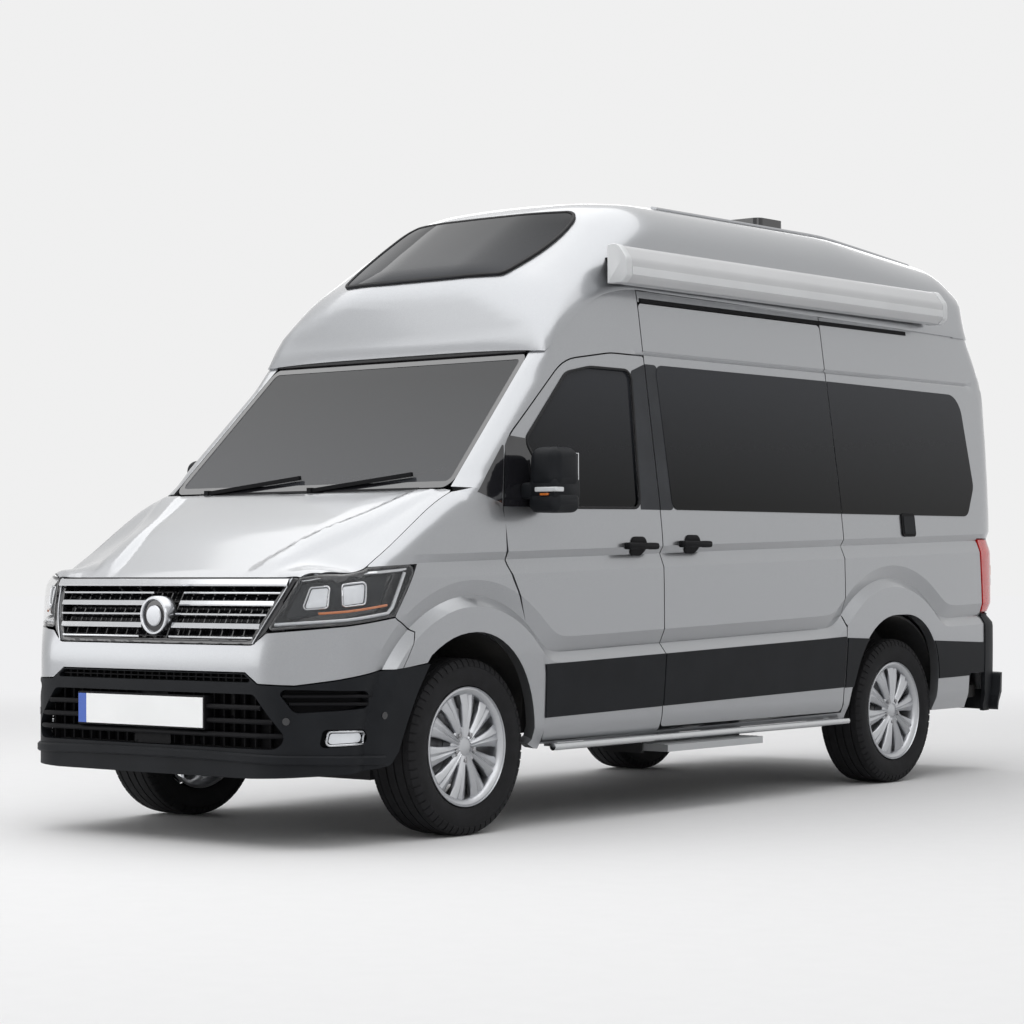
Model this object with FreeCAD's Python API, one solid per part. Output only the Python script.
import FreeCAD, Part
import math
import os

# High-roof camper van, in millimetres.
# Frame: +X is the vehicle's left, the nose points along -Y, +Z is up.
# The origin is on the ground, midway along the length, on the centre plane.

V = FreeCAD.Vector
os.makedirs("parts", exist_ok=True)

# Whole vehicle
LENGTH = 5986
FRONT_OVERHANG = 1050
WHEELBASE = 3640
HALF_WIDTH = 1020
NOSE_Y = -LENGTH / 2
TAIL_Y = LENGTH / 2
FRONT_AXLE_Y = NOSE_Y + FRONT_OVERHANG
REAR_AXLE_Y = FRONT_AXLE_Y + WHEELBASE

# Body section, seen from the front
SILL_HALF_WIDTH = 985
BELT_Z = 1300
HIP_Z = 800
BODY_TOP_HALF_WIDTH = 866
BODY_TOP_Z = 2480
ROOF_HALF_WIDTH = 775
ROOF_Z = 3030
ROOF_SIDE_Z = ROOF_Z - 45
SIDE_RADIUS = 3000
ROOF_EDGE_RADIUS = 210
ROOF_CROWN_RADIUS = 4000

# Body profile, seen from the side
BODY_BOTTOM_Z = 380
NOSE_HIGH_Z = 830
BONNET_FRONT_Y = NOSE_Y + 190
BONNET_FRONT_Z = 1160
BONNET_LOW_Z = 1140
BONNET_REAR_Y = FRONT_AXLE_Y - 66
BONNET_REAR_Z = 1540
SCREEN_LOW_Y = BONNET_REAR_Y + 25
SCREEN_LOW_Z = 1536
SCREEN_TOP_Y = SCREEN_LOW_Y + 688
SCREEN_TOP_Z = 2215
CAP_BROW_Y = SCREEN_TOP_Y + 104
CAP_BROW_Z = ROOF_Z - 440
CAP_CREST_Y = SCREEN_TOP_Y + 736
CAP_CREST_Z = ROOF_Z - 18
ROOF_FRONT_Y = SCREEN_TOP_Y + 1146
ROOF_REAR_Y = TAIL_Y - 1493
ROOF_TAIL_Y = TAIL_Y - 433
ROOF_TAIL_Z = ROOF_Z - 100
TAIL_FACE_Y = TAIL_Y - 108
TAIL_TOP_Y = TAIL_Y - 203
TAIL_TOP_Z = ROOF_Z - 230

# Body plan, seen from above
NOSE_FLAT_HALF_WIDTH = 720
NOSE_BOW = 25
NOSE_CORNER_X = 985
NOSE_CORNER_Y = NOSE_Y + 293
NOSE_SIDE_Y = NOSE_Y + 793
PLAN_HALF_WIDTH = 1080
TAIL_TAPER_Y = TAIL_Y - 1493
TAIL_HALF_WIDTH = 1012
TAIL_BOW = 20
TAIL_CORNER_RADIUS = 300

# Front corners of the roof cap, which lean back with its slope
BROW_FLAT_HALF_WIDTH = 560
BROW_CORNER_X = 860
BROW_CORNER_RUN = 250
BROW_SIDE_RUN = 560
BROW_SET_FORWARD = 40
BROW_LEAN = (CAP_CREST_Y - CAP_BROW_Y) / (CAP_CREST_Z - CAP_BROW_Z)

# Walls, glass and gaps
WALL = 55
SEAM = 0.3
DOOR_GAP = 7
SEAL_WIDTH = 28
DOOR_SKIN = 15
DOOR_STEP = 18
SEAL_DEPTH = 30
GLASS = 6
GLASS_INSET = 2

# Wheels
TYRE_RADIUS = 394
TYRE_WIDTH = 255
RIM_RADIUS = 254
RIM_FLANGE = 267
WHEEL_OUTER_X = 970
STUB_END_X = WHEEL_OUTER_X - 26
HUB_RADIUS = 75
AXLE_RADIUS = 30
RUNNING_FIT = 0.05
SPOKES = 10
SPOKE_WIDTH = 32
WHEEL_FACETS = 32
HUB_FACETS = 20
KINGPIN_X = 790
KINGPIN_RADIUS = 18
CARRIER_HALF = 48
AXLE_EYE_HALF = 32

# Wheel arches
FRONT_ARCH_RADIUS = 500
FRONT_ARCH_BACK = 440
REAR_ARCH_RADIUS = 505
REAR_ARCH_Y = REAR_AXLE_Y - 32
ARCH_Z = 405
FRONT_WELL_X = 500
REAR_WELL_X = 690
LINER = 12

# Seam heights and places on the sides
CAP_SEAM_FRONT_Z = 2205
CAP_SEAM_HIGH_Z = 2542
CAP_SEAM_REAR_Z = 2505
CAP_SEAM_TURN_Y = SCREEN_TOP_Y + 740
DOOR_FRONT_Y = FRONT_AXLE_Y + 500
DOOR_REAR_Y = FRONT_AXLE_Y + 1407
DOOR_BOTTOM_Z = 392
DOOR_TOP_Z = 2215
SLIDE_REAR_Y = DOOR_REAR_Y + 1640
SLIDE_TOP_Z = 2480
WINDOW_LOW_Z = 1477
WINDOW_TOP_Z = 2168
QUARTER_REAR_Y = TAIL_Y - 448
REAR_SEAM_X = 935
REAR_SEAM_TOP_X = 790
REAR_WALL_Y = TAIL_Y - 258
REAR_DOOR_LOW_Z = 585
REAR_DOOR_TOP_Z = 2440

# Mirrors
MIRROR_INNER_X = 1013
MIRROR_OUTER_X = 1213
MIRROR_REAR_Y = FRONT_AXLE_Y + 433
MIRROR_DEPTH = 180
MIRROR_LOW_Z = 1436
MIRROR_HIGH_Z = 1736

# Wiper arms: foot and tip places across
WIPER_SPANS = ((-640, -80), (40, 620))

# Slide-out step under the sliding door
STEP_FRONT_Y = DOOR_REAR_Y - 10
STEP_REAR_Y = STEP_FRONT_Y + 820
STEP_INNER_X = 700
STEP_OUTER_X = 1046
STEP_LOW_Z = 296
STEP_THICK = 34
STEP_RUNNER = 10
STEP_LEDGE = 24

# Chassis rails at the front
RAIL_LOW_Z = 560
RAIL_HEIGHT = 110
RAIL_INNER_X = 380
RAIL_OUTER_X = 460
RAIL_FRONT_Y = NOSE_Y + 103
RAIL_REAR_Y = FRONT_AXLE_Y + 503
CROSS_RAIL = 40

# Bulkhead between the engine and the cab
SHELF_Z = 1000
BULKHEAD_Y = FRONT_AXLE_Y - 17
BULKHEAD_THICK = 35
BULKHEAD_TOP_Z = 1430
TOE_BOARD_Y = FRONT_AXLE_Y + 513

# Engine block
ENGINE_HALF_WIDTH = 330
ENGINE_FRONT_Y = NOSE_Y + 273
ENGINE_REAR_Y = FRONT_AXLE_Y - 67
ENGINE_LOW_Z = 460
ENGINE_HIGH_Z = 1010

# Tube under each side
BAR_RADIUS = 17
BAR_X = 1012
BAR_Z = 366

WING_FRONT_Y = NOSE_Y + 268
FIREWALL_Y = FRONT_AXLE_Y + FRONT_ARCH_BACK + LINER - 2
FLOOR_Z = 500
FLOOR_THICK = 70
FLOOR_LOW_Z = FLOOR_Z - FLOOR_THICK
CABIN_CLEAR = 5

# Tail lamps
TAIL_LAMP_FRONT_Y = TAIL_Y - 379
TAIL_LAMP_LOW_Z = 920
TAIL_LAMP_HIGH_Z = 1340
TAIL_LAMP_INNER_X = 800

# Seats
SEAT_X = 230
SEAT_WIDTH = 490
SEAT_FRONT_Y = FRONT_AXLE_Y + 653
SEAT_BASE_Z = 740
STEERING_X = -420
STEERING_Y = FRONT_AXLE_Y + 503
STEERING_Z = 1330

# Awning case
AWNING_WALL_X = 820
AWNING_OUTER_X = 1000
AWNING_FRONT_Y = DOOR_REAR_Y - 264
AWNING_REAR_Y = REAR_AXLE_Y + 543

# Roof fittings
ROOFLIGHT_HALF_WIDTH = 380
ROOFLIGHT_FRONT_Y = ROOF_FRONT_Y + 130
ROOFLIGHT_LENGTH = 1070
ROOF_UNIT_HALF_WIDTH = 500
ROOF_UNIT_FRONT_Y = ROOF_FRONT_Y + 1230
ROOF_UNIT_LENGTH = 250

# Rear bumper
REAR_BUMPER_X = 1004
REAR_BUMPER_LOW_Z = 350
REAR_BUMPER_HEIGHT = 215
REAR_BUMPER_WALL = 60
REAR_BUMPER_FRONT_Y = TAIL_Y - 543


def edge_path(points, close=True):
    """Straight edges through points (V, radius), each corner rounded by its radius."""
    count = len(points)
    corners = []
    for i in range(count):
        here, radius = points[i]
        before = points[i - 1][0]
        after = points[(i + 1) % count][0]
        a = (before - here).normalize()
        b = (after - here).normalize()
        half = a.getAngle(b) / 2
        if radius <= 0 or abs(half - math.pi / 2) < 1e-4:
            corners.append((here, None, here))
            continue
        run = radius / math.tan(half)
        middle = (a + b).normalize() * (radius / math.sin(half) - radius)
        corners.append((here + a * run, here + middle, here + b * run))
    edges = []
    for i in range(count):
        start, mid, end = corners[i]
        if mid is not None:
            edges.append(Part.Arc(start, mid, end).toShape())
        following = corners[(i + 1) % count][0]
        if end.distanceToPoint(following) > 1e-6:
            edges.append(Part.LineSegment(end, following).toShape())
    return Part.Wire(edges)


def outline(points, place):
    """A face from rows of (a, b) or (a, b, radius), placed in space by place(a, b)."""
    rows = []
    for row in points:
        radius = row[2] if len(row) > 2 else 0
        rows.append((place(row[0], row[1]), radius))
    return Part.Face(edge_path(rows))


def seen_from_side(points, x0, x1, inset=0):
    face = outline(points, lambda y, z: V(x0, y, z))
    if inset:
        face = Part.Face(face.OuterWire.makeOffset2D(-inset))
    return face.extrude(V(x1 - x0, 0, 0))


def seen_from_front(points, y0, y1, inset=0):
    face = outline(points, lambda x, z: V(x, y0, z))
    if inset:
        face = Part.Face(face.OuterWire.makeOffset2D(-inset))
    return face.extrude(V(0, y1 - y0, 0))


def seen_from_above(points, z0, z1, inset=0):
    face = outline(points, lambda x, y: V(x, y, z0))
    if inset:
        face = Part.Face(face.OuterWire.makeOffset2D(-inset))
    return face.extrude(V(0, 0, z1 - z0))


def box(x0, x1, y0, y1, z0, z1):
    return Part.makeBox(x1 - x0, y1 - y0, z1 - z0, V(x0, y0, z0))


def rod(radius, start, end):
    along = end - start
    return Part.makeCylinder(radius, along.Length, start, along)


def square_bar(half, start, end):
    """A bar with a square section from start to end."""
    along = end - start
    side = along.cross(V(0, 0, 1)).normalize() * half
    up = side.cross(along).normalize() * half
    loop = [start + side + up, start + side - up, start - side - up, start - side + up]
    return Part.Face(Part.makePolygon(loop + loop[:1])).extrude(along)


def mirrored(shape):
    return shape.mirror(V(0, 0, 0), V(1, 0, 0))


def both_sides(rows, start=None, end=None):
    """Rows of one side, then the same rows mirrored, with optional points on the centre line."""
    other = [(-row[0],) + tuple(row[1:]) for row in reversed(rows)]
    first = [start] if start else []
    last = [end] if end else []
    return first + rows + last + other


def save(shape, name):
    shape = shape.removeSplitter()
    pieces = [solid for solid in shape.Solids if solid.Volume > 1000]
    result = pieces[0] if len(pieces) == 1 else Part.makeCompound(pieces)
    result.exportStep("parts/" + name + ".step")


# Outer form: the section, the side profile and the plan, each extruded and intersected

BODY_LOW = 200
PROFILE_LOW = BODY_LOW - 60
BODY_SECTION = both_sides([
    (SILL_HALF_WIDTH - 15, BODY_LOW),
    (SILL_HALF_WIDTH, BODY_BOTTOM_Z),
    (HALF_WIDTH, HIP_Z, SIDE_RADIUS / 2),
    (HALF_WIDTH, BELT_Z, SIDE_RADIUS),
    (BODY_TOP_HALF_WIDTH, BODY_TOP_Z, SIDE_RADIUS),
    (ROOF_HALF_WIDTH, ROOF_SIDE_Z, ROOF_EDGE_RADIUS),
], end=(0, ROOF_Z, ROOF_CROWN_RADIUS))

BODY_PROFILE = [
    (NOSE_Y, PROFILE_LOW),
    (NOSE_Y, NOSE_HIGH_Z, 250),
    (BONNET_FRONT_Y, BONNET_FRONT_Z, 60),
    (BONNET_REAR_Y, BONNET_REAR_Z),
    (SCREEN_LOW_Y, SCREEN_LOW_Z),
    (SCREEN_TOP_Y, SCREEN_TOP_Z, 60),
    (CAP_BROW_Y, CAP_BROW_Z, 250),
    (CAP_CREST_Y, CAP_CREST_Z, 500),
    (ROOF_FRONT_Y, ROOF_Z + 10, 900),
    (ROOF_REAR_Y, ROOF_Z + 10, 3000),
    (ROOF_TAIL_Y, ROOF_TAIL_Z, 400),
    (TAIL_TOP_Y, TAIL_TOP_Z, 120),
    (TAIL_FACE_Y, HIP_Z + 400, 2500),
    (TAIL_FACE_Y, PROFILE_LOW),
]

BODY_PLAN = both_sides([
    (NOSE_FLAT_HALF_WIDTH, NOSE_Y + NOSE_BOW, 220),
    (NOSE_CORNER_X, NOSE_CORNER_Y, 300),
    (PLAN_HALF_WIDTH, NOSE_SIDE_Y),
    (PLAN_HALF_WIDTH, TAIL_TAPER_Y),
    (TAIL_HALF_WIDTH, TAIL_FACE_Y - TAIL_BOW, TAIL_CORNER_RADIUS),
], start=(0, NOSE_Y, 4000), end=(0, TAIL_FACE_Y, 4000))


def section_form(inset=0):
    """The body's section carried along the whole length."""
    return seen_from_front(BODY_SECTION, NOSE_Y - 10, TAIL_Y + 10, inset)


def form(inset=0):
    """The van's outer form, or the same form moved inwards by inset."""
    section = section_form(inset)
    profile = seen_from_side(BODY_PROFILE, -1200, 1200, inset)
    plan = seen_from_above(BODY_PLAN, PROFILE_LOW - 60, ROOF_Z + 100, inset)
    return section.common(profile).common(plan).cut(brow_corners(inset))


def brow_corners(inset=0):
    """What lies outside the rounded front corners of the roof cap, above the windscreen."""
    low_z = SCREEN_TOP_Z - 5
    front_y = CAP_BROW_Y - BROW_SET_FORWARD + (low_z - CAP_BROW_Z) * BROW_LEAN
    rise = ROOF_Z + 150 - low_z
    face = outline(both_sides([
        (BROW_FLAT_HALF_WIDTH, front_y, 300),
        (BROW_CORNER_X, front_y + BROW_CORNER_RUN, 500),
        (HALF_WIDTH + 80, front_y + BROW_SIDE_RUN),
        (HALF_WIDTH + 80, TAIL_Y + 200),
    ]), lambda x, y: V(x, y, low_z))
    if inset:
        face = Part.Face(face.OuterWire.makeOffset2D(-inset))
    kept = face.extrude(V(0, rise * BROW_LEAN, rise))
    around = box(-1200, 1200, NOSE_Y, CAP_CREST_Y + 900, low_z, ROOF_Z + 120)
    return around.cut(kept)


OUTER = form()
CAVITY = form(WALL)
BEHIND_GLASS = form(GLASS_INSET + GLASS)
UNDER_GLASS = form(GLASS_INSET)
FRAME_INNER = form(WALL + SEAM)
FITTING = form(WALL + 2 * SEAM)
SHELL = OUTER.cut(CAVITY)
PANE = UNDER_GLASS.cut(BEHIND_GLASS)


def side_skin(outside, inside):
    """The layer between two depths below the outer form's sides, without nose and tail."""
    return section_form(outside).cut(section_form(inside)).common(OUTER)


SIDE_SHELL = side_skin(0, WALL)
SIDE_PANE = side_skin(GLASS_INSET, GLASS_INSET + GLASS)

# Seams of the left side, as (y, z) outlines

DOOR_FRONT_SEAM = [
    (DOOR_FRONT_Y, DOOR_BOTTOM_Z),
    (DOOR_FRONT_Y - 17, 748, 300),
    (DOOR_FRONT_Y - 269, 1200, 160),
    (DOOR_FRONT_Y - 288, 1450, 160),
    (DOOR_FRONT_Y - 212, 1790, 300),
    (DOOR_FRONT_Y + 208, DOOR_TOP_Z, 120),
]
DOOR_OUTLINE = DOOR_FRONT_SEAM + [
    (DOOR_REAR_Y, DOOR_TOP_Z, 20),
    (DOOR_REAR_Y, DOOR_BOTTOM_Z),
]
SLIDE_OUTLINE = [
    (DOOR_REAR_Y + DOOR_GAP, DOOR_BOTTOM_Z + 20),
    (DOOR_REAR_Y + DOOR_GAP, SLIDE_TOP_Z, 30),
    (SLIDE_REAR_Y, SLIDE_TOP_Z, 30),
    (SLIDE_REAR_Y, DOOR_BOTTOM_Z + 20),
]
DOOR_WINDOW = [
    (DOOR_FRONT_Y + 68, WINDOW_LOW_Z - 10, 60),
    (DOOR_FRONT_Y - 117, 1755, 60),
    (DOOR_FRONT_Y + 278, 2120, 120),
    (DOOR_REAR_Y - 109, 2125, 40),
    (DOOR_REAR_Y - 160, WINDOW_LOW_Z - 5, 40),
]
SLIDE_WINDOW = [
    (DOOR_REAR_Y + 96, WINDOW_LOW_Z, 50),
    (DOOR_REAR_Y + 96, WINDOW_TOP_Z, 50),
    (SLIDE_REAR_Y - 60, WINDOW_TOP_Z, 50),
    (SLIDE_REAR_Y - 60, WINDOW_LOW_Z, 50),
]
QUARTER_WINDOW = [
    (SLIDE_REAR_Y + 60, WINDOW_LOW_Z, 50),
    (SLIDE_REAR_Y + 60, WINDOW_TOP_Z, 50),
    (QUARTER_REAR_Y - 30, WINDOW_TOP_Z, 150),
    (QUARTER_REAR_Y, 1660, 100),
    (QUARTER_REAR_Y - 130, WINDOW_LOW_Z, 60),
]
CAP_OUTLINE = [
    (SCREEN_TOP_Y - 104, CAP_SEAM_FRONT_Z - 35),
    (SCREEN_TOP_Y + 6, CAP_SEAM_FRONT_Z),
    (SCREEN_TOP_Y + 296, 2400, 600),
    (CAP_SEAM_TURN_Y, CAP_SEAM_HIGH_Z, 500),
    (TAIL_Y, CAP_SEAM_REAR_Z),
    (TAIL_Y, ROOF_Z + 100),
    (SCREEN_TOP_Y - 404, ROOF_Z + 100),
]
WING_REAR_Y = DOOR_FRONT_Y - DOOR_GAP
WING_OUTLINE = [
    (NOSE_Y - 10, 100),
    (WING_REAR_Y, 100),
    (WING_REAR_Y, DOOR_BOTTOM_Z),
    (WING_REAR_Y - 17, 748, 300),
    (WING_REAR_Y - 269, 1200, 160),
    (WING_REAR_Y - 288, 1450),
    (SCREEN_LOW_Y + 60, SCREEN_LOW_Z + 12),
    (NOSE_Y - 10, SCREEN_LOW_Z + 300),
]
BUMPER_OUTLINE = [
    (NOSE_Y - 20, 100),
    (FRONT_AXLE_Y, 100),
    (FRONT_AXLE_Y - 230, 790),
    (FRONT_AXLE_Y - 552, 1040),
    (FRONT_AXLE_Y - 657, 975),
    (NOSE_Y + 233, 935),
    (NOSE_Y - 20, 900),
]

# Outlines seen from the front, as (x, z), and the bonnet's seen from above

SCREEN_OUTLINE = both_sides([
    (880, SCREEN_LOW_Z + 15, 60),
    (806, SCREEN_TOP_Z - 25, 60),
])
SKYLIGHT_OUTLINE = both_sides([
    (515, CAP_BROW_Z + 10, 70),
    (600, CAP_BROW_Z + 170, 120),
    (540, CAP_BROW_Z + 345, 90),
])
GRILLE_OUTLINE = both_sides([
    (575, 850, 20),
    (762, BONNET_LOW_Z, 20),
])
LAMP_FRONT = [
    (600, 905, 20),
    (950, 940, 60),
    (1100, 1000),
    (1100, 1215),
    (770, 1150, 30),
]
LAMP_SIDE = [
    (NOSE_Y - 10, 850),
    (FRONT_AXLE_Y - 697, 950, 120),
    (FRONT_AXLE_Y - 512, 1000, 20),
    (FRONT_AXLE_Y - 387, 1212, 20),
    (NOSE_Y - 10, 1330),
]
BONNET_PLAN = both_sides([
    (700, NOSE_Y, 10),
    (795, BONNET_FRONT_Y - 40, 30),
    (925, FRONT_AXLE_Y - 617, 120),
    (930, BONNET_REAR_Y + 8, 60),
], end=(0, BONNET_REAR_Y, 3000))


def grown(outline_rows, view, span, amount):
    """The extrusion of an outline with its edge moved outwards by amount."""
    return view(outline_rows, span[0], span[1], -amount)


def wheel_well(axle_y, radius, back, inner_x, grow=0):
    """The room round a wheel: a half drum over a straight-sided lower part."""
    outer_x = HALF_WIDTH + 200
    drum = rod(radius + grow, V(inner_x - grow, axle_y, ARCH_Z), V(outer_x, axle_y, ARCH_Z))
    low = box(inner_x - grow, outer_x, axle_y - radius - grow, axle_y + radius + grow, 0, ARCH_Z)
    room = drum.fuse(low)
    limit = box(0, outer_x + 10, axle_y - 2 * radius, axle_y + back + grow, 0, ARCH_Z + 2 * radius)
    return room.common(limit)


FRONT_WELL = wheel_well(FRONT_AXLE_Y, FRONT_ARCH_RADIUS, FRONT_ARCH_BACK, FRONT_WELL_X)
REAR_WELL = wheel_well(REAR_ARCH_Y, REAR_ARCH_RADIUS, REAR_ARCH_RADIUS, REAR_WELL_X)
LEFT = (740, 1300)
LEFT_INNER = (690, 1300)
LAMP_SPAN = (580, 1300)
BOTH = (-1300, 1300)
AHEAD = (NOSE_Y - 50, SCREEN_TOP_Y + 296)
LAMP_AHEAD = (NOSE_Y - 50, BONNET_REAR_Y)

CAP_REGION = seen_from_side(CAP_OUTLINE, BOTH[0], BOTH[1])
WING_REGION = seen_from_side(WING_OUTLINE, BOTH[0], BOTH[1])
BUMPER_REGION = seen_from_side(BUMPER_OUTLINE, BOTH[0], BOTH[1])
GRILLE_REGION = seen_from_front(GRILLE_OUTLINE, AHEAD[0], BONNET_FRONT_Y + 60)
SCREEN_REGION = seen_from_front(SCREEN_OUTLINE, AHEAD[0], AHEAD[1])
BONNET_REGION = seen_from_above(BONNET_PLAN, BONNET_LOW_Z - CABIN_CLEAR, ROOF_Z)
LAMP_REGION = seen_from_front(LAMP_FRONT, LAMP_AHEAD[0], LAMP_AHEAD[1])
LAMP_REGION = LAMP_REGION.common(seen_from_side(LAMP_SIDE, LAMP_SPAN[0], LAMP_SPAN[1]))
TAIL_LAMP_REGION = box(700, 1300, TAIL_LAMP_FRONT_Y, TAIL_Y, TAIL_LAMP_LOW_Z, TAIL_LAMP_HIGH_Z)
REAR_DOOR_OUTLINE = [
    (DOOR_GAP / 2, REAR_DOOR_LOW_Z),
    (REAR_SEAM_X, REAR_DOOR_LOW_Z, 40),
    (REAR_SEAM_X, BELT_Z, 600),
    (REAR_SEAM_TOP_X, REAR_DOOR_TOP_Z, 60),
    (DOOR_GAP / 2, REAR_DOOR_TOP_Z),
]
REAR_DOOR_REGION = seen_from_front(REAR_DOOR_OUTLINE, REAR_WALL_Y, TAIL_Y)
REAR_GAP_REGION = seen_from_front(REAR_DOOR_OUTLINE, REAR_WALL_Y, TAIL_Y, -DOOR_GAP)

FRAME_SHELL = OUTER.cut(FRAME_INNER)
SEAL_LAYER = FRAME_INNER.cut(form(WALL + SEAL_DEPTH))


# Cap, front end and sides

def make_roof_cap():
    cap = SHELL.common(CAP_REGION)
    skylight = seen_from_front(SKYLIGHT_OUTLINE, NOSE_Y, 0)
    return cap.cut(skylight)


def make_skylight():
    return PANE.common(seen_from_front(SKYLIGHT_OUTLINE, NOSE_Y, 0, SEAM))


def make_windscreen():
    return PANE.common(seen_from_front(SCREEN_OUTLINE, AHEAD[0], AHEAD[1], SEAM))


def make_bonnet():
    inner = form(WALL - 15)
    skin = OUTER.cut(inner)
    region = seen_from_above(BONNET_PLAN, BONNET_LOW_Z, ROOF_Z, CABIN_CLEAR)
    return skin.common(region).common(box(-1200, 1200, NOSE_Y, BONNET_REAR_Y, 1000, 1700))


def make_wing():
    wing = SHELL.common(WING_REGION).common(box(700, 1300, WING_FRONT_Y, 0, BODY_BOTTOM_Z, 2000))
    for cutter in (BUMPER_REGION, LAMP_REGION, BONNET_REGION, FRONT_WELL, GRILLE_REGION, CAP_REGION,
                   SCREEN_REGION):
        wing = wing.cut(cutter)
    return wing


def make_front_bumper():
    bumper = SHELL.common(BUMPER_REGION)
    for cutter in (LAMP_REGION, mirrored(LAMP_REGION), GRILLE_REGION, FRONT_WELL, mirrored(FRONT_WELL)):
        bumper = bumper.cut(cutter)
    return bumper.cut(box(-1300, 1300, NOSE_Y - 50, 0, 0, 300))


def make_grille():
    return SHELL.common(grown(GRILLE_OUTLINE, seen_from_front, (NOSE_Y - 50, BONNET_FRONT_Y + 50), -SEAM))


def make_headlamp():
    front = seen_from_front(LAMP_FRONT, LAMP_AHEAD[0], LAMP_AHEAD[1], SEAM)
    side = seen_from_side(LAMP_SIDE, LAMP_SPAN[0], LAMP_SPAN[1], SEAM)
    deep = OUTER.cut(form(90))
    return deep.common(front).common(side).cut(GRILLE_REGION).cut(BONNET_REGION)


def side_openings(left):
    cuts = [grown(DOOR_OUTLINE, seen_from_side, LEFT, DOOR_GAP), CAP_REGION, WING_REGION, REAR_WELL]
    cuts += [seen_from_side(QUARTER_WINDOW, LEFT[0], LEFT[1])]
    if left:
        cuts += [grown(SLIDE_OUTLINE, seen_from_side, LEFT, DOOR_GAP)]
    else:
        cuts += [seen_from_side(SLIDE_WINDOW, LEFT[0], LEFT[1])]
    cuts += [REAR_GAP_REGION]
    cuts += [SCREEN_REGION, TAIL_LAMP_REGION]
    return cuts


def ring_behind(rows, view, span):
    """The flange that a door closes on, just behind its edge and joined to the wall round it."""
    inside = grown(rows, view, span, -SEAL_WIDTH)
    reach = grown(rows, view, span, DOOR_GAP + SEAL_WIDTH)
    return SEAL_LAYER.common(reach.cut(inside))


def make_side_frame(left):
    frame = FRAME_SHELL.common(box(0, 1300, NOSE_Y, TAIL_Y, BODY_BOTTOM_Z, ROOF_Z + 50))
    for cutter in side_openings(left):
        frame = frame.cut(cutter)
    rings = ring_behind(DOOR_OUTLINE, seen_from_side, LEFT_INNER)
    rings = rings.fuse(ring_behind(REAR_DOOR_OUTLINE, seen_from_front, (REAR_WALL_Y - 60, TAIL_Y)))
    if left:
        rings = rings.fuse(ring_behind(SLIDE_OUTLINE, seen_from_side, LEFT_INNER))
    sill = SEAL_LAYER.common(box(600, 1300, DOOR_FRONT_Y - 27, SLIDE_REAR_Y + 20, BODY_BOTTOM_Z, FLOOR_Z))
    rings = rings.fuse(sill).common(box(0, 1300, NOSE_Y, TAIL_Y, BODY_BOTTOM_Z, CAP_SEAM_HIGH_Z))
    for cutter in (SCREEN_REGION, REAR_WELL, FRONT_WELL, CAP_REGION):
        rings = rings.cut(cutter)
    frame = frame.fuse(rings)
    pillar = FRAME_INNER.cut(form(2 * WALL))
    pillar = pillar.common(box(400, 1300, DOOR_REAR_Y - 80, DOOR_REAR_Y + 90, FLOOR_Z, SLIDE_TOP_Z + 40))
    frame = frame.fuse(pillar)
    return frame


def make_front_door():
    door = SIDE_SHELL.common(seen_from_side(DOOR_OUTLINE, LEFT[0], LEFT[1]))
    return door.cut(seen_from_side(DOOR_WINDOW, LEFT[0], LEFT[1]))


def make_front_door_glass():
    return SIDE_PANE.common(seen_from_side(DOOR_WINDOW, LEFT[0], LEFT[1], SEAM))


def make_sliding_door():
    door = SIDE_SHELL.common(seen_from_side(SLIDE_OUTLINE, LEFT[0], LEFT[1]))
    return door.cut(seen_from_side(SLIDE_WINDOW, LEFT[0], LEFT[1]))


def make_side_glass():
    slide = SIDE_PANE.common(seen_from_side(SLIDE_WINDOW, LEFT[0], LEFT[1], SEAM))
    quarter = SIDE_PANE.common(seen_from_side(QUARTER_WINDOW, LEFT[0], LEFT[1], SEAM))
    return slide, quarter


REAR_WINDOW = [
    (110, 1500, 50),
    (110, 2150, 50),
    (770, 2150, 50),
    (800, 1500, 50),
]


def make_rear_door():
    under_skin = form(DOOR_SKIN)
    skin = OUTER.cut(under_skin).common(REAR_DOOR_REGION)
    stepped = grown(REAR_DOOR_OUTLINE, seen_from_front, (REAR_WALL_Y, TAIL_Y), -DOOR_STEP)
    frame = under_skin.cut(CAVITY).common(stepped)
    return skin.fuse(frame).cut(seen_from_front(REAR_WINDOW, REAR_WALL_Y, TAIL_Y))


def make_rear_door_glass():
    return PANE.common(seen_from_front(REAR_WINDOW, REAR_WALL_Y, TAIL_Y, SEAM))


def make_tail_lamp():
    region = box(TAIL_LAMP_INNER_X, 1300, TAIL_LAMP_FRONT_Y + SEAM, TAIL_Y,
                 TAIL_LAMP_LOW_Z + SEAM, TAIL_LAMP_HIGH_Z - SEAM)
    return SHELL.common(region).cut(REAR_GAP_REGION)


def make_mirror():
    front_y = MIRROR_REAR_Y - MIRROR_DEPTH
    head_plan = [
        (MIRROR_INNER_X, MIRROR_REAR_Y - 5, 20),
        (MIRROR_INNER_X + 20, front_y, 60),
        (MIRROR_OUTER_X - 30, front_y + 45, 70),
        (MIRROR_OUTER_X, MIRROR_REAR_Y, 30),
    ]
    head = seen_from_above(head_plan, MIRROR_LOW_Z, MIRROR_HIGH_Z)
    arm_low_z = MIRROR_LOW_Z + 60
    arm_front_y = front_y + 40
    arm = box(MIRROR_INNER_X - 25, MIRROR_INNER_X + 40, arm_front_y, arm_front_y + 90,
              arm_low_z, arm_low_z + 100)
    return head.fuse(arm).cut(OUTER)


# Wheels, axles and steering

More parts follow.
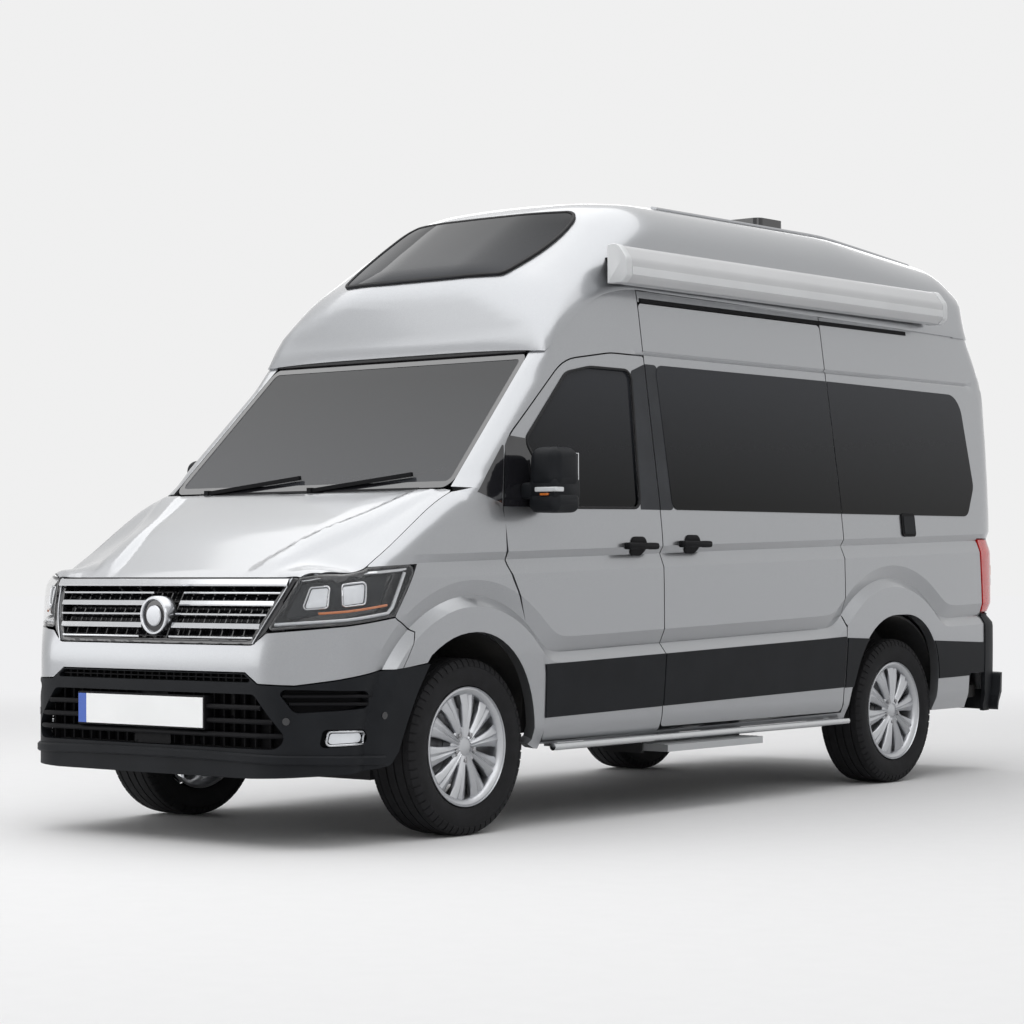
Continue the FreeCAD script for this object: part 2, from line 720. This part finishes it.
def faceted_ring(points, sides):
    """An (x, radius) outline carried round the X axis in flat facets, one of them lowest."""
    turn = 2 * math.pi / sides
    stretch = 1 / math.cos(turn / 2)

    def corner(row, i):
        angle = turn * (i + 0.5)
        return V(row[0], row[1] * stretch * math.sin(angle), -row[1] * stretch * math.cos(angle))

    facets = []
    for i in range(sides):
        for first, second in zip(points, points[1:] + points[:1]):
            loop = [corner(first, i), corner(second, i), corner(second, i + 1), corner(first, i + 1)]
            facets.append(Part.Face(Part.makePolygon(loop + loop[:1])))
    shell = Part.makeShell(facets)
    shell.sewShape()
    ring = Part.makeSolid(shell)
    if ring.Volume < 0:
        ring.reverse()
    return ring


def make_tyre():
    half = TYRE_WIDTH / 2
    middle = WHEEL_OUTER_X - half
    return faceted_ring([
        (middle - half + 22, RIM_RADIUS + SEAM),
        (middle + half - 22, RIM_RADIUS + SEAM),
        (middle + half, RIM_FLANGE + 50),
        (middle + half - 14, TYRE_RADIUS - 22),
        (middle + half - 40, TYRE_RADIUS),
        (middle - half + 40, TYRE_RADIUS),
        (middle - half + 14, TYRE_RADIUS - 22),
        (middle - half, RIM_FLANGE + 50),
    ], WHEEL_FACETS)


def make_rim():
    outer_x = WHEEL_OUTER_X - 6
    inner_x = WHEEL_OUTER_X - TYRE_WIDTH + 6
    barrel = faceted_ring([
        (inner_x + 16, RIM_RADIUS - 12),
        (outer_x - 16, RIM_RADIUS - 12),
        (outer_x, RIM_FLANGE),
        (outer_x - 16, RIM_RADIUS),
        (inner_x + 16, RIM_RADIUS),
        (inner_x, RIM_FLANGE),
    ], WHEEL_FACETS)
    hub = faceted_ring([
        (outer_x - 100, AXLE_RADIUS - 5),
        (outer_x - 18, AXLE_RADIUS - 5),
        (outer_x - 14, HUB_RADIUS),
        (outer_x - 100, HUB_RADIUS),
    ], HUB_FACETS)
    cap = rod(AXLE_RADIUS + 8, V(outer_x - 18, 0, 0), V(outer_x - 6, 0, 0))
    rim = barrel.fuse(hub).fuse(cap)
    spoke_side = [
        (outer_x - 14, HUB_RADIUS - 12),
        (outer_x - 4, RIM_FLANGE - 24),
        (outer_x - 34, RIM_FLANGE - 24),
        (outer_x - 60, HUB_RADIUS - 12),
    ]
    for i in range(SPOKES):
        face = outline(spoke_side, lambda x, r: V(x, -SPOKE_WIDTH / 2, r))
        spoke = face.extrude(V(0, SPOKE_WIDTH, 0))
        spoke.rotate(V(0, 0, 0), V(1, 0, 0), 360 * (i + 0.5) / SPOKES)
        rim = rim.fuse(spoke)
    bore = rod(AXLE_RADIUS + RUNNING_FIT, V(outer_x - 110, 0, 0), V(STUB_END_X + 1, 0, 0))
    return rim.cut(bore)


def at_wheel(shape, axle_y, left):
    placed = shape.copy()
    placed.translate(V(0, axle_y, TYRE_RADIUS))
    return placed if left else mirrored(placed)


KNUCKLE_LOW_Z = TYRE_RADIUS - 110
KNUCKLE_HIGH_Z = TYRE_RADIUS + 110


def make_knuckle():
    y = FRONT_AXLE_Y
    post = box(KINGPIN_X - 26, KINGPIN_X + 26, y - 32, y + 32, KNUCKLE_LOW_Z, KNUCKLE_HIGH_Z)
    pin = rod(KINGPIN_RADIUS, V(KINGPIN_X, y, KNUCKLE_LOW_Z - 40), V(KINGPIN_X, y, KNUCKLE_HIGH_Z + 40))
    stub = rod(AXLE_RADIUS, V(KINGPIN_X, y, TYRE_RADIUS), V(STUB_END_X, y, TYRE_RADIUS))
    carrier = box(KINGPIN_X - 10, WHEEL_OUTER_X - 116, y - CARRIER_HALF, y + CARRIER_HALF,
                  TYRE_RADIUS - CARRIER_HALF, TYRE_RADIUS + CARRIER_HALF)
    return post.fuse(pin).fuse(stub).fuse(carrier)


def make_front_axle():
    y = FRONT_AXLE_Y
    beam = box(-430, 430, y - 60, y + 60, 225, 285)
    whole = beam
    for side in (-1, 1):
        for z0, z1 in ((KNUCKLE_LOW_Z - 34, KNUCKLE_LOW_Z - 2), (KNUCKLE_HIGH_Z + 2, KNUCKLE_HIGH_Z + 34)):
            arm = box(380, KINGPIN_X + AXLE_EYE_HALF, y - AXLE_EYE_HALF, y + AXLE_EYE_HALF, z0, z1)
            arm = arm.cut(rod(KINGPIN_RADIUS + RUNNING_FIT, V(KINGPIN_X, y, 0), V(KINGPIN_X, y, 900)))
            whole = whole.fuse(arm if side > 0 else mirrored(arm))
        tower = box(380, 430, y - 60, y + 60, 225, RAIL_LOW_Z)
        whole = whole.fuse(tower if side > 0 else mirrored(tower))
    return whole


def make_rear_axle():
    y = REAR_AXLE_Y
    whole = rod(35, V(-REAR_WELL_X + 30, y, TYRE_RADIUS), V(REAR_WELL_X - 30, y, TYRE_RADIUS))
    whole = whole.fuse(rod(AXLE_RADIUS, V(-STUB_END_X, y, TYRE_RADIUS), V(STUB_END_X, y, TYRE_RADIUS)))
    for side in (-1, 1):
        spring_face = outline([
            (y - 640, FLOOR_Z - FLOOR_THICK),
            (y - 640, FLOOR_Z - FLOOR_THICK - 30),
            (y, TYRE_RADIUS - 100, 1500),
            (y + 640, FLOOR_Z - FLOOR_THICK - 30),
            (y + 640, FLOOR_Z - FLOOR_THICK),
            (y + 600, FLOOR_Z - FLOOR_THICK),
            (y, TYRE_RADIUS - 60, 1400),
            (y - 600, FLOOR_Z - FLOOR_THICK),
        ], lambda a, b: V(540, a, b))
        spring = spring_face.extrude(V(70, 0, 0))
        seat = box(540, 610, y - 50, y + 50, TYRE_RADIUS - 90, TYRE_RADIUS)
        both = spring.fuse(seat)
        whole = whole.fuse(both if side > 0 else mirrored(both))
    return whole


# Underbody, engine and cabin

def make_underbody():
    floor = box(-1100, 1100, FIREWALL_Y, TAIL_FACE_Y, FLOOR_LOW_Z, FLOOR_Z)
    wall = box(-1100, 1100, FIREWALL_Y, TOE_BOARD_Y, FLOOR_LOW_Z, SHELF_Z)
    shelf = box(-1100, 1100, BULKHEAD_Y, TOE_BOARD_Y, SHELF_Z - 40, SHELF_Z)
    bulkhead = box(-1100, 1100, BULKHEAD_Y, BULKHEAD_Y + BULKHEAD_THICK, SHELF_Z - 40, BULKHEAD_TOP_Z)
    body = floor.fuse(wall).fuse(shelf).fuse(bulkhead)
    rail_top_z = RAIL_LOW_Z + RAIL_HEIGHT
    rail_y = RAIL_FRONT_Y + CROSS_RAIL
    rail = box(RAIL_INNER_X, RAIL_OUTER_X, rail_y, RAIL_REAR_Y, RAIL_LOW_Z, rail_top_z)
    body = body.fuse(rail).fuse(mirrored(rail))
    body = body.fuse(box(-RAIL_OUTER_X, RAIL_OUTER_X, RAIL_FRONT_Y, rail_y, RAIL_LOW_Z, rail_top_z))
    for axle_y, radius, back, inner in (
        (FRONT_AXLE_Y, FRONT_ARCH_RADIUS, FRONT_ARCH_BACK, FRONT_WELL_X),
        (REAR_ARCH_Y, REAR_ARCH_RADIUS, REAR_ARCH_RADIUS, REAR_WELL_X),
    ):
        liner = wheel_well(axle_y, radius, back, inner, LINER)
        liner = liner.cut(box(0, 2000, NOSE_Y, TAIL_Y, 0, FLOOR_LOW_Z))
        body = body.fuse(liner).fuse(mirrored(liner))
    for well in (FRONT_WELL, REAR_WELL):
        body = body.cut(well).cut(mirrored(well))
    body = body.common(FITTING)
    clear = OUTER.cut(form(WALL + SEAL_DEPTH + SEAM))
    door_edges = clear.common(box(-1300, 1300, DOOR_FRONT_Y - 347,
                                  SLIDE_REAR_Y + DOOR_GAP + SEAL_WIDTH + 5, 0, 1500))
    rear_edge = clear.common(box(-1300, 1300, REAR_WALL_Y - 120, TAIL_Y, 0, 3000))
    arm_slot = box(FRONT_WELL_X - 40, FRONT_WELL_X + 20, FRONT_AXLE_Y - 60, FRONT_AXLE_Y + 60,
                   KNUCKLE_HIGH_Z - 20, KNUCKLE_HIGH_Z + 56)
    body = body.cut(arm_slot).cut(mirrored(arm_slot))
    guide_x = (STEP_INNER_X - 40, 920)
    guide_z = STEP_LOW_Z - 12
    for y0 in (STEP_FRONT_Y - SEAM - STEP_RUNNER, STEP_REAR_Y + SEAM):
        runner = box(guide_x[0], guide_x[1], y0, y0 + STEP_RUNNER, guide_z, FLOOR_LOW_Z)
        body = body.fuse(runner)
    for y0 in (STEP_FRONT_Y - SEAM - STEP_RUNNER, STEP_REAR_Y + SEAM + STEP_RUNNER - STEP_LEDGE):
        ledge = box(guide_x[0], guide_x[1], y0, y0 + STEP_LEDGE, guide_z, STEP_LOW_Z - SEAM)
        body = body.fuse(ledge)
    return body.cut(door_edges).cut(rear_edge)


def make_engine():
    block = box(-ENGINE_HALF_WIDTH, ENGINE_HALF_WIDTH, ENGINE_FRONT_Y, ENGINE_REAR_Y,
                ENGINE_LOW_Z, ENGINE_HIGH_Z)
    bracket = box(ENGINE_HALF_WIDTH - 10, RAIL_INNER_X, ENGINE_FRONT_Y + 300, ENGINE_FRONT_Y + 420,
                  RAIL_LOW_Z + 20, RAIL_LOW_Z + 80)
    return block.fuse(bracket).fuse(mirrored(bracket))


def make_dashboard():
    back_y = BULKHEAD_Y + BULKHEAD_THICK + SEAM
    low_z = SHELF_Z + SEAM
    dash = seen_from_side([
        (back_y, low_z),
        (back_y, SHELF_Z + 380, 30),
        (back_y + 285, SHELF_Z + 400, 60),
        (back_y + 365, SHELF_Z + 250, 60),
        (back_y + 325, low_z, 30),
    ], -1100, 1100)
    dash = dash.common(form(WALL + SEAL_DEPTH + CABIN_CLEAR))
    wheel = faceted_ring([(-14, 175), (-14, 203), (14, 203), (14, 175)], HUB_FACETS)
    wheel.rotate(V(0, 0, 0), V(0, 1, 0), 90)
    for angle in (90, 210, 330):
        spoke = box(0, 185, -16, 16, -10, 10)
        spoke.rotate(V(0, 0, 0), V(0, 0, 1), angle)
        wheel = wheel.fuse(spoke)
    wheel = wheel.fuse(rod(28, V(0, 0, -260), V(0, 0, 12)))
    wheel.rotate(V(0, 0, 0), V(1, 0, 0), -55)
    wheel.translate(V(STEERING_X, STEERING_Y, STEERING_Z))
    return dash.fuse(wheel)


def make_seat():
    y = SEAT_FRONT_Y
    base = box(SEAT_X + 20, SEAT_X + SEAT_WIDTH - 20, y + 110, y + 530, FLOOR_Z, SEAT_BASE_Z)
    cushion = seen_from_side([
        (y, SEAT_BASE_Z, 30),
        (y, SEAT_BASE_Z + 140, 50),
        (y + 440, SEAT_BASE_Z + 130, 20),
        (y + 590, SEAT_BASE_Z + 740, 60),
        (y + 610, SEAT_BASE_Z + 900, 40),
        (y + 710, SEAT_BASE_Z + 900, 40),
        (y + 690, SEAT_BASE_Z + 660, 100),
        (y + 570, SEAT_BASE_Z, 30),
    ], SEAT_X, SEAT_X + SEAT_WIDTH)
    return base.fuse(cushion)


# Outside fittings

def make_awning():
    low_z = CAP_SEAM_HIGH_Z + 10
    section = [
        (AWNING_WALL_X, low_z + 8),
        (AWNING_WALL_X, low_z + 183),
        (AWNING_OUTER_X - 40, low_z + 193, 30),
        (AWNING_OUTER_X, low_z + 148, 40),
        (AWNING_OUTER_X, low_z + 48, 40),
        (AWNING_OUTER_X - 60, low_z, 30),
    ]
    case = seen_from_front(section, AWNING_FRONT_Y, AWNING_REAR_Y)
    return case.cut(form(-SEAM))


def make_rooflight():
    plan = both_sides([
        (ROOFLIGHT_HALF_WIDTH, ROOFLIGHT_FRONT_Y, 60),
        (ROOFLIGHT_HALF_WIDTH, ROOFLIGHT_FRONT_Y + ROOFLIGHT_LENGTH, 60),
    ])
    low = seen_from_above(plan, ROOF_Z - 60, ROOF_Z + 22)
    unit_plan = both_sides([
        (ROOF_UNIT_HALF_WIDTH, ROOF_UNIT_FRONT_Y, 40),
        (ROOF_UNIT_HALF_WIDTH, ROOF_UNIT_FRONT_Y + ROOF_UNIT_LENGTH, 40),
    ])
    unit = seen_from_above(unit_plan, ROOF_Z - 60, ROOF_Z + 62)
    shifted = OUTER.copy()
    shifted.translate(V(0, 0, SEAM))
    return low.cut(shifted), unit.cut(shifted)


def make_side_bar():
    y0 = DOOR_FRONT_Y + 43
    y1 = SLIDE_REAR_Y + 26
    bar = rod(BAR_RADIUS, V(BAR_X, y0, BAR_Z), V(BAR_X, y1, BAR_Z))
    for y in (y0 + 120, y1 - 120):
        bar = bar.fuse(box(885, BAR_X, y - 25, y + 25, BAR_Z - 6, BAR_Z + 6))
        bar = bar.fuse(box(885, 925, y - 25, y + 25, BAR_Z - 6, BODY_BOTTOM_Z - SEAM))
    return bar


def make_step_tread():
    return box(STEP_INNER_X, STEP_OUTER_X, STEP_FRONT_Y, STEP_REAR_Y, STEP_LOW_Z, STEP_LOW_Z + STEP_THICK)


def make_rear_bumper():
    plan = both_sides([
        (REAR_BUMPER_X, REAR_BUMPER_FRONT_Y),
        (REAR_BUMPER_X, TAIL_Y - 10, 260),
    ], end=(0, TAIL_Y, 5000))
    face = outline(plan, lambda x, y: V(x, y, REAR_BUMPER_LOW_Z))
    solid = face.extrude(V(0, 0, REAR_BUMPER_HEIGHT))
    hollow = Part.Face(face.OuterWire.makeOffset2D(-REAR_BUMPER_WALL))
    bumper = solid.cut(hollow.extrude(V(0, 0, REAR_BUMPER_HEIGHT - 50)))
    return bumper.cut(form(-SEAM))


def make_scuttle():
    strip = SHELL.common(WING_REGION).common(box(-930, 930, BONNET_REAR_Y - 5, 0, 1380, 2000))
    strip = strip.cut(BONNET_REGION).cut(SCREEN_REGION)
    wing_band = box(700, 1300, NOSE_Y, 0, 0, 2000)
    strip = strip.cut(wing_band).cut(mirrored(wing_band))
    gutter = box(-699, 699, SCREEN_LOW_Y - 6, BULKHEAD_Y + BULKHEAD_THICK,
                 BULKHEAD_TOP_Z, BULKHEAD_TOP_Z + 55)
    strip = strip.fuse(gutter.common(form(WALL - 20)))
    for x0, x1 in WIPER_SPANS:
        foot = V(x0, SCREEN_LOW_Y + 4, SCREEN_LOW_Z + 14)
        tip = V(x1, SCREEN_LOW_Y + 60, SCREEN_LOW_Z + 78)
        strip = strip.fuse(square_bar(9, foot, tip).cut(OUTER))
        strip = strip.fuse(box(x0 - 13, x0 + 13, foot.y - 13, foot.y + 13, foot.z - 60, foot.z + 14))
    return strip


# Write every node

save(make_roof_cap(), "roof_cap")
save(make_skylight(), "skylight")
save(make_windscreen(), "windscreen")
save(make_bonnet(), "bonnet")
wing = make_wing()
save(Part.makeCompound([wing, mirrored(wing)]), "front_wings")
save(make_front_bumper(), "front_bumper")
save(make_grille(), "grille")
lamp = make_headlamp()
save(Part.makeCompound([lamp, mirrored(lamp)]), "headlamps")
save(make_side_frame(True), "side_frame_left")
save(mirrored(make_side_frame(False)), "side_frame_right")
save(make_sliding_door(), "sliding_door")
slide_glass, quarter_glass = make_side_glass()
panes = [slide_glass, quarter_glass]
save(Part.makeCompound(panes + [mirrored(pane) for pane in panes]), "side_glass")
for name, flip in (("left", lambda shape: shape), ("right", mirrored)):
    save(flip(make_front_door()), "front_door_" + name)
    save(flip(make_front_door_glass()), "front_door_glass_" + name)
    save(flip(make_mirror()), "mirror_" + name)
    save(flip(make_rear_door()), "rear_door_" + name)
    save(flip(make_rear_door_glass()), "rear_door_glass_" + name)
    save(flip(make_knuckle()), "knuckle_" + name)
tail_lamp = make_tail_lamp()
save(Part.makeCompound([tail_lamp, mirrored(tail_lamp)]), "tail_lamps")
tyre = make_tyre()
rim = make_rim()
for place, axle_y in (("front", FRONT_AXLE_Y), ("rear", REAR_AXLE_Y)):
    for name, left in (("left", True), ("right", False)):
        save(at_wheel(tyre, axle_y, left), "tyre_" + place + "_" + name)
        save(at_wheel(rim, axle_y, left), "rim_" + place + "_" + name)
save(make_front_axle(), "front_axle")
save(make_rear_axle(), "rear_axle")
save(make_underbody(), "underbody")
save(make_engine(), "engine")
save(make_dashboard(), "dashboard")
seat = make_seat()
save(Part.makeCompound([seat, mirrored(seat)]), "seats")
save(make_awning(), "awning")
save(Part.makeCompound(list(make_rooflight())), "roof_fittings")
bar = make_side_bar()
save(Part.makeCompound([bar, mirrored(bar)]), "side_bars")
save(make_step_tread(), "step_tread")
save(make_rear_bumper(), "rear_bumper")
save(make_scuttle(), "scuttle")
